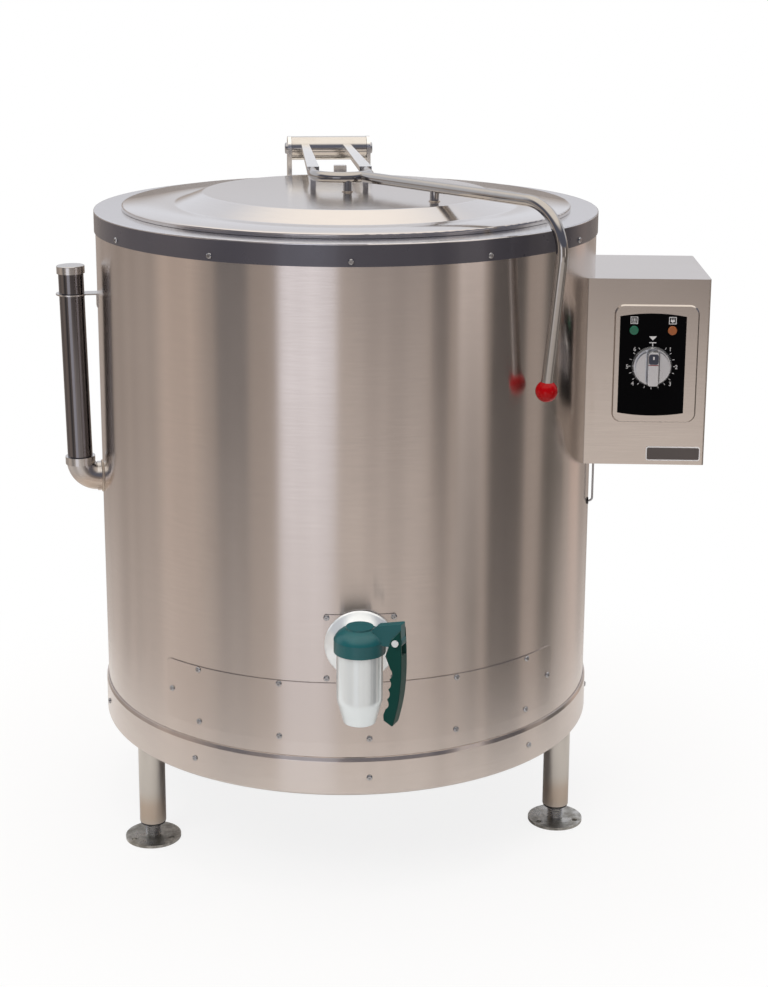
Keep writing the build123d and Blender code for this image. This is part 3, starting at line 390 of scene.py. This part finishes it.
def grown(name, base, tree, settings):
    carrier = asObject(name, base)
    modifier = carrier.modifiers.new("grow", "NODES")
    modifier.node_group = tree
    for item in tree.interface.items_tree:
        if item.in_out == "INPUT" and item.name in settings:
            modifier[item.identifier] = settings[item.name]
    mesh = bpy.data.meshes.new_from_object(carrier.evaluated_get(bpy.context.evaluated_depsgraph_get()))
    carrier.modifiers.remove(modifier)
    carrier.data = mesh
    return carrier


# Cross-recess screws round the rim band, the skirt and the covers

screws = {
    "headRadius": 4.2,
    "headHeight": 2.3,
    "recessRadius": 1.9,
    "recessDepth": 1.2,
    "sides": 12,
    "twistSeed": 7,
    "rimAngles": [-4 + 30 * i for i in range(12)],
    "rimPlace": (365, 877),
    "skirtAngles": [40 * i for i in range(9)],
    "skirtPlace": (366, 169),
    "coverReach": 364.5,
    "coverPitch": 19.4,
    "panelMiddle": 262,
    "tapAngle": 7.1,
    "tapTurn": -2,
    "tapMiddle": 355.5,
}


def makeScrewHead():
    radius, height = screws["headRadius"] * mm, screws["headHeight"] * mm
    recess, depth = screws["recessRadius"] * mm, screws["recessDepth"] * mm
    sides = screws["sides"]
    rings = [(radius, 0, 0), (radius, 0.35 * height, 0), (0.86 * radius, 0.75 * height, 0),
             (0.62 * radius, height, 0), (recess, height, 1), (0.85 * recess, height - depth, 1)]
    points = []
    for reach, rise, cross in rings:
        for index in range(sides):
            turn = 2 * math.pi * index / sides
            part = reach * (0.35 if cross and index % 3 else 1)  # a four-pointed recess
            points.append((part * math.cos(turn), part * math.sin(turn), rise))
    faces = []
    for ring in range(len(rings) - 1):
        for index in range(sides):
            a, b = ring * sides + index, ring * sides + (index + 1) % sides
            faces.append((a, b, b + sides, a + sides))
    faces.append(tuple(range((len(rings) - 1) * sides, len(rings) * sides)))
    return asObject("screwHead", meshFrom("screwHead", points, faces))


def makeScrewTree():
    graph, entry = sizedTree("screwRing", {"Head": "Object", "Head Size": "Float", "Seed": "Int",
                                           "Finish": "Material"})
    head = graph.add("GeometryNodeObjectInfo", {"transform_space": "ORIGINAL"}, out=4, Object=entry["Head"])
    place = graph.add("GeometryNodeInputPosition")
    level = graph.add("ShaderNodeVectorMath", {"operation": "MULTIPLY"}, place, (1, 1, 0))
    aim = graph.add("FunctionNodeAlignRotationToVector", {"axis": "Z"}, Vector=level)
    twist = graph.add("FunctionNodeRandomValue", {"data_type": "FLOAT"}, out=1, Seed=entry["Seed"])
    spin = graph.add("FunctionNodeAxisAngleToRotation", None, Axis=(0, 0, 1), Angle=twist * (2 * math.pi))
    turned = graph.add("FunctionNodeRotateRotation", {"rotation_space": "LOCAL"}, aim, spin)
    heads = graph.add("GeometryNodeInstanceOnPoints", None, Points=entry["Geometry"], Instance=head,
                      Rotation=turned, Scale=entry["Head Size"])
    return closeTree(graph, heads, entry["Finish"])


def coverScrewPoints():
    reach, pitch, middle = screws["coverReach"], screws["coverPitch"], screws["panelMiddle"]
    spots = [(pitch * side, middle + 39) for side in (-2, -1, 1, 2)]
    spots += [(pitch * side, middle) for side in (-2.4, 2.4)]
    spots += [(pitch * side, middle - 37) for side in (-2, -1, 0, 1, 2)]
    spots += [(screws["tapTurn"] + side * screws["tapAngle"], screws["tapMiddle"] + rise)
              for side in (-1, 1) for rise in (-43, 43)]
    return [outwardPoint(angle, reach, height) for angle, height in spots]


screwHead = makeScrewHead()
screwTree = makeScrewTree()
screwSets = {
    "rim_band_screws": [outwardPoint(angle, *screws["rimPlace"]) for angle in screws["rimAngles"]],
    "skirt_screws": [outwardPoint(angle, *screws["skirtPlace"]) for angle in screws["skirtAngles"]],
    "cover_screws": coverScrewPoints(),
}
for nodeName, spots in screwSets.items():
    name = nodeName.split("_")[0] + "Screws"
    ringOfHeads = grown(name, meshFrom(name, spots), screwTree, {
        "Head": screwHead, "Head Size": 1.0, "Seed": screws["twistSeed"], "Finish": finishes["zinc"]})
    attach(ringOfHeads, "kettle")
    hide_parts(nodeName)
bpy.data.objects.remove(screwHead)
print("screws set,", sum(len(spots) for spots in screwSets.values()))


# Weld beads: a rippled bead along a line of points

weld = {
    "bead": 1.6,
    "ripple": 0.22,
    "pitch": 2.2,
    "sides": 8,
}


def makeBeadTree():
    graph, entry = sizedTree("weldBead", {"Bead": "Float", "Ripple": "Float", "Pitch": "Float",
                                          "Sides": "Int", "Finish": "Material"})
    line = graph.add("GeometryNodeMeshToCurve", None, entry["Geometry"])
    fine = graph.add("GeometryNodeResampleCurve", {"mode": "LENGTH"}, line, Length=entry["Pitch"] / 4)
    index = graph.add("GeometryNodeInputIndex")
    wave = (index * (math.pi / 4)).math("SINE").math("ABSOLUTE") * entry["Ripple"] + 1.0
    swollen = graph.add("GeometryNodeSetCurveRadius", None, fine, Radius=wave)
    section = graph.add("GeometryNodeCurvePrimitiveCircle", {"mode": "RADIUS"}, Resolution=entry["Sides"],
                        Radius=entry["Bead"])
    bead = graph.add("GeometryNodeCurveToMesh", None, swollen, section, Scale=wave)
    return closeTree(graph, bead, entry["Finish"])


beadTree = makeBeadTree()


def beadAlong(name, points, closed=True, size=1.0):
    count = len(points)
    edges = [(index, (index + 1) % count) for index in range(count if closed else count - 1)]
    return grown(name, meshFrom(name, points, edges=edges), beadTree, {
        "Bead": weld["bead"] * size * mm, "Ripple": weld["ripple"], "Pitch": weld["pitch"] * mm,
        "Sides": weld["sides"], "Finish": finishes["weld"]})


def circlePoints(centre, radius, across, along, count=48):
    return [Vector(centre) + Vector(across) * (math.cos(2 * math.pi * index / count) * radius)
            + Vector(along) * (math.sin(2 * math.pi * index / count) * radius) for index in range(count)]


welds = {
    "fillerTurn": 5,
    "fillerHeight": 510,
    "fillerFoot": 21.8,
    "shellRadius": 363.6,
    "crown": 922.3,
    "postRadius": 6.9,
    "posts": [(0, -16), (111.7, -129.7)],
    "bracketHalf": 60,
    "bracketFront": 330,
    "deck": 900.4,
}


def makeWelds():
    turn = math.radians(welds["fillerTurn"])
    out = Vector((-math.cos(turn), -math.sin(turn), 0))
    side = Vector((-out.y, out.x, 0))
    foot = []
    for point in circlePoints((0, 0, 0), welds["fillerFoot"], (1, 0, 0), (0, 1, 0)):
        reach = math.sqrt(welds["shellRadius"] ** 2 - point.x ** 2)
        foot.append((out * reach + side * point.x + Vector((0, 0, welds["fillerHeight"] + point.y))) * mm)
    half, front, deck = welds["bracketHalf"], welds["bracketFront"], welds["deck"]
    hingeFoot = [Vector((x, front, deck)) * mm for x in (-half, half)]
    joined("frameWelds", [beadAlong("elbowBead", foot), beadAlong("hingeBead", hingeFoot, False, 0.8)],
           "kettle")
    posts = [beadAlong("postBead", [point * mm for point in circlePoints(
        (x, y, welds["crown"]), welds["postRadius"], (1, 0, 0), (0, 1, 0), 24)], True, 0.7)
        for x, y in welds["posts"]]
    joined("lidWelds", posts, "lid")


makeWelds()
print("welds laid")


# Prints on the control panel, drawn in the box's own frame: across, up, out of the panel

panel = {
    "turn": -8,
    "across": 439.5,
    "front": 109.0,
    "up": 690,
    "lift": 0.12,
    "iconHalf": 5.2,
    "iconLine": 0.9,
    "iconPlaces": [(-27, 66.3), (27, 66.3)],
    "numberSize": 8.5,
    "numberPlaces": [(25, 24.5), (34.5, -1), (26.5, -25.5), (-26.5, -25.5), (-35, -1), (-25, 24.5)],
    "tickRadii": (30.2, 33.2),
    "tickWidth": 0.8,
    "tickAngles": [18 * i for i in range(1, 20) if i not in (1, 19)],
    "pointer": [(-5.4, 43.4), (5.4, 43.4), (0, 37.4)],
    "bars": [(-5, 33.6, 5, 34.9), (-0.6, 28.8, 0.6, 33.7)],
}


def onPanel(across, up, out):
    turn = math.radians(panel["turn"])
    x, y = panel["across"] + across, -(panel["front"] + out)
    return Vector((x * math.cos(turn) - y * math.sin(turn), x * math.sin(turn) + y * math.cos(turn),
                   panel["up"] + up)) * mm


def flatShape(name, outline, finishName, out=0.0, lift=None):  # a thin closed slab of one outline
    lift = panel["lift"] if lift is None else lift
    count = len(outline)
    points = [onPanel(x, y, out) for x, y in outline] + [onPanel(x, y, out + lift) for x, y in outline]
    faces = [tuple(range(count)), tuple(range(2 * count - 1, count - 1, -1))]
    faces += [(index, index + count, (index + 1) % count + count, (index + 1) % count)
              for index in range(count)]
    mesh = meshFrom(name, points, faces)
    work = bmesh.new()
    work.from_mesh(mesh)
    bmesh.ops.recalc_face_normals(work, faces=work.faces)
    work.to_mesh(mesh)
    work.free()
    return asObject(name, mesh, finishName)


def box2(left, low, right, high):
    return [(left, low), (right, low), (right, high), (left, high)]


def rounded(left, low, right, high, radius, steps=5):
    outline = []
    corners = [(right - radius, low + radius, -90), (right - radius, high - radius, 0),
               (left + radius, high - radius, 90), (left + radius, low + radius, 180)]
    for x, y, start in corners:
        for step in range(steps + 1):
            turn = math.radians(start + 90 * step / steps)
            outline.append((x + radius * math.cos(turn), y + radius * math.sin(turn)))
    return outline


def number(text, across, up, size):
    curve = bpy.data.curves.new("number", "FONT")
    curve.body = text
    curve.size = size
    curve.align_x = "CENTER"
    curve.align_y = "CENTER"
    curve.extrude = panel["lift"] / 2
    curve.resolution_u = 3
    holder = bpy.data.objects.new("number", curve)
    bpy.context.scene.collection.objects.link(holder)
    mesh = bpy.data.meshes.new_from_object(holder.evaluated_get(bpy.context.evaluated_depsgraph_get()))
    bpy.data.objects.remove(holder)
    for vertex in mesh.vertices:
        place = vertex.co.copy()
        vertex.co = onPanel(across + place.x, up + place.y, panel["lift"] / 2 + place.z)
    mesh.materials.clear()
    return asObject("number", mesh, "print")


def makePrints():
    prints = [flatShape("pointer", panel["pointer"], "print")]
    prints += [flatShape("bar", box2(*bar), "print") for bar in panel["bars"]]
    half, line = panel["iconHalf"], panel["iconLine"]
    for index, (x, y) in enumerate(panel["iconPlaces"]):
        frameBars = [(x - half, y - half, x + half, y - half + line),
                     (x - half, y + half - line, x + half, y + half),
                     (x - half, y - half + line, x - half + line, y + half - line),
                     (x + half - line, y - half + line, x + half, y + half - line)]
        if index == 0:  # heat: three upright strokes over a bar
            marks = [(x + shift - 0.5, y - 1.2, x + shift + 0.5, y + 2.9) for shift in (-2.2, 0, 2.2)]
            marks.append((x - 3, y - 3.2, x + 3, y - 2.2))
        else:  # mains: two pins over a body
            marks = [(x + shift - 0.5, y + 0.6, x + shift + 0.5, y + 3.2) for shift in (-1.5, 1.5)]
            marks += [(x - 2.8, y - 2.0, x + 2.8, y + 0.6), (x - 0.5, y - 3.4, x + 0.5, y - 2.0)]
        prints += [flatShape("icon", box2(*bar), "print") for bar in frameBars + marks]
    near, far = panel["tickRadii"]
    for angle in panel["tickAngles"]:
        turn = math.radians(angle)
        way, cross = Vector((math.sin(turn), math.cos(turn))), Vector((math.cos(turn), -math.sin(turn)))
        half = cross * panel["tickWidth"] / 2
        outline = [way * near - half, way * near + half, way * far + half, way * far - half]
        prints.append(flatShape("tick", [tuple(point) for point in outline], "print"))
    prints += [number(str(index + 1), x, y, panel["numberSize"])
               for index, (x, y) in enumerate(panel["numberPlaces"])]
    joined("panelPrints", prints, "kettle")


makePrints()
print("panel printed")


# A bare plate low on the box, and the window at the tip of the dial's bar

plate = {
    "corners": (-3.8, -139, 74, -118),
    "radius": 4.0,
    "rim": 1.7,
    "out": -3.0,
    "thick": 0.9,
}
dial = {
    "face": 22.3,
    "window": (-6.9, 7.2, 6.9, 22.0),
    "mark": (-1.0, 14.2, 1.0, 18.5),
    "line": (-6.9, 5.6, 6.9, 6.8),
}


def makePlate():
    left, low, right, high = plate["corners"]
    rim, radius = plate["rim"], plate["radius"]
    outer = flatShape("plateRim", rounded(left, low, right, high, radius), "plateEdge",
                      plate["out"], plate["thick"])
    inner = flatShape("plateFace", rounded(left + rim, low + rim, right - rim, high - rim, radius - rim),
                      "plate", plate["out"] + plate["thick"], 0.1)
    bevel = outer.modifiers.new("edge", "BEVEL")
    bevel.width = 0.3 * mm
    bevel.segments = 2
    soft = bpy.data.meshes.new_from_object(outer.evaluated_get(bpy.context.evaluated_depsgraph_get()))
    outer.modifiers.remove(bevel)
    outer.data = soft
    joined("blankPlate", [outer, inner], "kettle")


def makeDialWindow():
    face = dial["face"]
    pieces = [flatShape("window", rounded(*dial["window"], 3.2), "window", face, 0.15),
              flatShape("mark", box2(*dial["mark"]), "print", face + 0.15, 0.1),
              flatShape("line", box2(*dial["line"]), "redLine", face, 0.12)]
    joined("dialWindow", pieces, "thermostat_knob")


makePlate()
makeDialWindow()
print("plate and dial window made")


# Threads of the levelling feet

thread = {
    "radius": 10.5,
    "pitch": 3.0,
    "foot": 6.0,
    "top": 46.0,
    "tooth": 0.9,
    "circle": 344,
    "angles": {"foot_left": -60, "foot_right": 60, "foot_rear": 180},
}


def makeThreadTree():
    graph, entry = sizedTree("footThread", {"Radius": "Float", "Turns": "Float", "Height": "Float",
                                            "Tooth": "Float", "Finish": "Material"})
    spiral = graph.add("GeometryNodeCurveSpiral", None, Resolution=24, Rotations=entry["Turns"],
                       Start_Radius=entry["Radius"], End_Radius=entry["Radius"], Height=entry["Height"])
    section = graph.add("GeometryNodeCurvePrimitiveCircle", {"mode": "RADIUS"}, Resolution=4,
                        Radius=entry["Tooth"])
    coil = graph.add("GeometryNodeCurveToMesh", None, spiral, section, Fill_Caps=True)
    coils = graph.add("GeometryNodeInstanceOnPoints", None, Points=entry["Geometry"], Instance=coil)
    return closeTree(graph, coils, entry["Finish"])


threadTree = makeThreadTree()
for body, angle in thread["angles"].items():
    spot = outwardPoint(angle, thread["circle"], thread["foot"])
    height = thread["top"] - thread["foot"]
    coil = grown(body + "Thread", meshFrom("threadSpot", [spot]), threadTree, {
        "Radius": thread["radius"] * mm, "Turns": height / thread["pitch"], "Height": height * mm,
        "Tooth": thread["tooth"] * mm, "Finish": finishes["zinc"]})
    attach(coil, body)
print("foot threads cut")


# Studio: a pale floor, a room of plain cards round the pan, and the camera

studio = {
    "floorRadius": 6.0,
    "floorFade": (0.55, 1.0),
    "floorColour": (0.80, 0.79, 0.78),
    "floorShade": 0.16,
    "wall": (0.41, 0.355, 0.32),
    "ceiling": (0.84, 0.86, 0.92),
    "overhead": (1.32, 1.24, 1.15),
    "overheadFrom": (0.52, 0.80),
    "frontGloom": (0.15, 0.16, 0.21),
    "patchy": (0.85, 1.15),
    "lowGlow": (0.69, 0.63, 0.59),
    "lowGlowHeights": (-0.34, -0.27),
    "lowGlowShare": 0.85,
    "lowGlowDip": (80, 30, 12),  # azimuth, half width, soft edge
    "lowGlowDipDepth": 0.6,
    "streakScale": (0.12, 1.5),
    "ahead": (0, 95, 20),
    "ceilingFrom": (0.02, 0.20),
    "gloomFrom": (0.04, 0.14),
    "cards": {  # azimuth, half width, soft edge, lowest and highest z, softness in z; colour
        "leftWall": (-86, 12, 10, -1.0, 0.1, 0.1, (0.57, 0.48, 0.42)),
        "doorway": (-57, 8, 5, -1.0, 0.1, 0.1, (0.17, 0.16, 0.16)),
        "window": (-22, 13, 4, -1.0, 0.1, 0.1, (1.13, 1.13, 1.22)),
        "afterWindow": (-2, 8, 10, -1.0, -0.19, 0.03, (0.85, 0.78, 0.73)),
        "floorSheen": (18, 14, 10, -1.0, -0.19, 0.03, (0.67, 0.61, 0.57)),
        "darkRoom": (13, 17, 8, -0.20, 0.1, 0.035, (0.24, 0.21, 0.20)),
        "darkPost": (37, 4, 3, -0.24, 0.1, 0.1, (0.08, 0.07, 0.07)),
        "lamp": (52, 6.5, 2, -0.19, 0.1, 0.03, (1.10, 1.00, 0.95)),
        "lampFoot": (52, 6.5, 3, -0.25, -0.20, 0.02, (0.30, 0.27, 0.25)),
        "lampBase": (52, 6.5, 3, -1.0, -0.25, 0.02, (0.12, 0.11, 0.10)),
        "shadow": (73, 10.5, 3, -1.0, 0.1, 0.1, (0.10, 0.09, 0.085)),
        "wallEnd": (106, 9, 6, -1.0, 0.1, 0.1, (0.11, 0.10, 0.09)),
        "farWindow": (128, 6, 5, -1.0, 0.1, 0.1, (0.60, 0.48, 0.42)),
    },
}


def makeWorld():
    world = bpy.data.worlds.new("studio")
    bpy.context.scene.world = world
    world.use_nodes = True
    graph = Graph(world.node_tree)
    direction = graph.add("ShaderNodeTexCoord")
    x, y, z = graph.split(direction)
    azimuth = graph.add("ShaderNodeMath", {"operation": "ARCTAN2"}, x, y * -1) * math.degrees(1)
    across, along = studio["streakScale"]
    streakSpace = graph.add("ShaderNodeCombineXYZ", None, azimuth * across, z * along, 0.0)
    streaks = graph.noise(streakSpace, 1.0, 3.0, 0.6)
    colour = studio["wall"]
    for middle, half, edge, low, high, soft, tint in studio["cards"].values():
        mask = azimuth.band(middle, half, edge) * (1 - z.smooth(high - soft, high + soft))
        if low > -1:
            mask = mask * z.smooth(low - soft, low + soft)
        colour = graph.mix(mask, colour, tint)
    dip = azimuth.band(*studio["lowGlowDip"]) * studio["lowGlowDipDepth"]
    glow = (1 - z.smooth(*studio["lowGlowHeights"])) * (studio["lowGlowShare"] - dip)
    colour = graph.mix(glow, colour, studio["lowGlow"])
    shade = streaks.smooth(0.2, 0.8).between(*studio["patchy"])
    grey = graph.add("ShaderNodeCombineXYZ", None, shade, shade, shade)
    colour = graph.add("ShaderNodeVectorMath", {"operation": "MULTIPLY"}, colour, grey)
    ahead = azimuth.band(*studio["ahead"])
    colour = graph.mix(z.smooth(*studio["ceilingFrom"]) * (1 - ahead), colour, studio["ceiling"])
    colour = graph.mix(z.smooth(*studio["gloomFrom"]) * ahead, colour, studio["frontGloom"])
    colour = graph.mix(z.smooth(*studio["overheadFrom"]), colour, studio["overhead"])
    rays = world.node_tree.nodes.new("ShaderNodeLightPath")
    seen = Value(graph, rays.outputs["Is Camera Ray"])
    colour = graph.mix(seen, colour, (1.0, 1.0, 1.0))
    shade = graph.add("ShaderNodeBackground", None, colour, 1.0)
    graph.add("ShaderNodeOutputWorld", None, shade)


def makeFloor():
    mesh = bpy.data.meshes.new("floor")
    work = bmesh.new()
    bmesh.ops.create_circle(work, cap_ends=True, segments=96, radius=studio["floorRadius"])
    work.to_mesh(mesh)
    work.free()
    floor = bpy.data.objects.new("floor", mesh)
    bpy.context.scene.collection.objects.link(floor)
    material = bpy.data.materials.new("paleFloor")
    material.use_nodes = True
    graph = Graph(material.node_tree)
    coordinates = graph.add("ShaderNodeTexCoord", out=3)
    reach = graph.add("ShaderNodeVectorMath", {"operation": "LENGTH"}, coordinates, out=1)
    near = 1 - reach.smooth(*studio["floorFade"])
    rays = material.node_tree.nodes.new("ShaderNodeLightPath")
    seen = Value(graph, rays.outputs["Is Camera Ray"])
    matt = graph.add("ShaderNodeBsdfDiffuse", None, studio["floorColour"])
    white = graph.add("ShaderNodeEmission", None, (1.0, 1.0, 1.0), 1.0)
    clear = graph.add("ShaderNodeBsdfTransparent")
    shadowed = graph.add("ShaderNodeMixShader", None, studio["floorShade"], white, matt)
    cameraLook = graph.add("ShaderNodeMixShader", None, near, white, shadowed)
    mirrorLook = graph.add("ShaderNodeMixShader", None, near, clear, matt)
    both = graph.add("ShaderNodeMixShader", None, seen, mirrorLook, cameraLook)
    graph.add("ShaderNodeOutputMaterial", None, both)
    mesh.materials.append(material)


def makeLamp(name, place, target, size, power):
    light = bpy.data.lights.new(name, "AREA")
    light.shape = "SQUARE"
    light.size = size
    light.energy = power
    lamp = bpy.data.objects.new(name, light)
    bpy.context.scene.collection.objects.link(lamp)
    lamp.location = place
    lamp.rotation_euler = (Vector(target) - Vector(place)).to_track_quat("-Z", "Y").to_euler()
    lamp.visible_camera = False
    lamp.visible_glossy = False


lamps = {  # place, target, side of the square, watts
    "keyLight": ((-1.6, -1.8, 2.6), (0, 0, 0.6), 1.6, 30),
    "topLight": ((0.3, 0.2, 3.0), (0, 0, 0.8), 1.8, 24),
}
cameraView = {
    "place": (-0.2297, -2.6887, 1.2569),
    "yaw": 6.07,
    "pitch": 13.5,
    "roll": 0.29,
    "lens": 67.76,
    "shift": (0.0, -0.0947),
}


def makeCamera():
    yaw, pitch, roll = (math.radians(cameraView[key]) for key in ("yaw", "pitch", "roll"))
    ahead = Vector((math.sin(yaw) * math.cos(pitch), math.cos(yaw) * math.cos(pitch), -math.sin(pitch)))
    level = Vector((math.cos(yaw), -math.sin(yaw), 0))
    above = level.cross(ahead)
    right = level * math.cos(roll) + above * math.sin(roll)
    up = above * math.cos(roll) - level * math.sin(roll)
    camera = bpy.data.objects.new("camera", bpy.data.cameras.new("camera"))
    bpy.context.scene.collection.objects.link(camera)
    turn = Matrix((right, up, -ahead)).transposed().to_4x4()
    camera.matrix_world = Matrix.Translation(Vector(cameraView["place"])) @ turn
    camera.data.sensor_width = 36
    camera.data.lens = cameraView["lens"]
    camera.data.shift_x, camera.data.shift_y = cameraView["shift"]
    camera.data.clip_end = 60
    bpy.context.scene.camera = camera


makeWorld()
makeFloor()
for name, figures in lamps.items():
    makeLamp(name, *figures)
makeCamera()
bpy.context.scene.view_settings.view_transform = "Standard"
print("studio and camera made")
